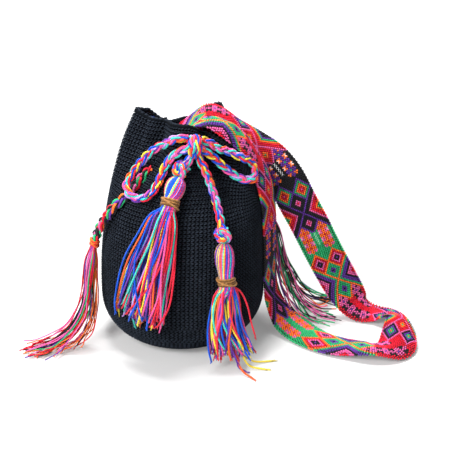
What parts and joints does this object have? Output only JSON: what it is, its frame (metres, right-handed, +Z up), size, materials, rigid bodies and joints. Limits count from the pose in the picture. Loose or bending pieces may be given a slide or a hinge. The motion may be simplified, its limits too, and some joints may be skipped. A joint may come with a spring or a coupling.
{
  "type": "crochet drawstring bucket bag",
  "caption": "Round crochet bucket bag with a gathered mouth, braided drawstring tied in a bow with yarn tassels, and a patterned knotted shoulder strap with fringed ends.",
  "frame": {"origin": "middle of the round base, on the surface that the bag stands on", "axes": "+Z up through the mouth, -Y towards the bow at the front, +X towards the strap"},
  "size_m": [0.4706, 0.2189, 0.2837],
  "materials": {
    "crochet": "matte crochet",
    "yarn": "soft multicolour yarn",
    "twine": "waxed brown twine",
    "macrame": "fine patterned knots"
  },
  "bodies": {
    "root": {"bag_body": "crochet", "drawstring_run": "yarn", "bow_knot": "yarn", "bow_loop_left": "yarn", "bow_loop_right": "yarn", "drawstring_end_left": "yarn", "drawstring_end_right": "yarn", "stopper_knot_left": "yarn", "stopper_knot_right": "yarn", "tassel_left": "yarn", "tassel_binding_left": "twine", "tassel_right": "yarn", "tassel_binding_right": "twine", "strap_band": "macrame", "strap_braid_left": "macrame", "braid_binding_left": "macrame", "fringe_left": "macrame", "strap_braid_right": "macrame", "braid_binding_right": "macrame", "fringe_right": "macrame"}
  },
  "joints": []
}
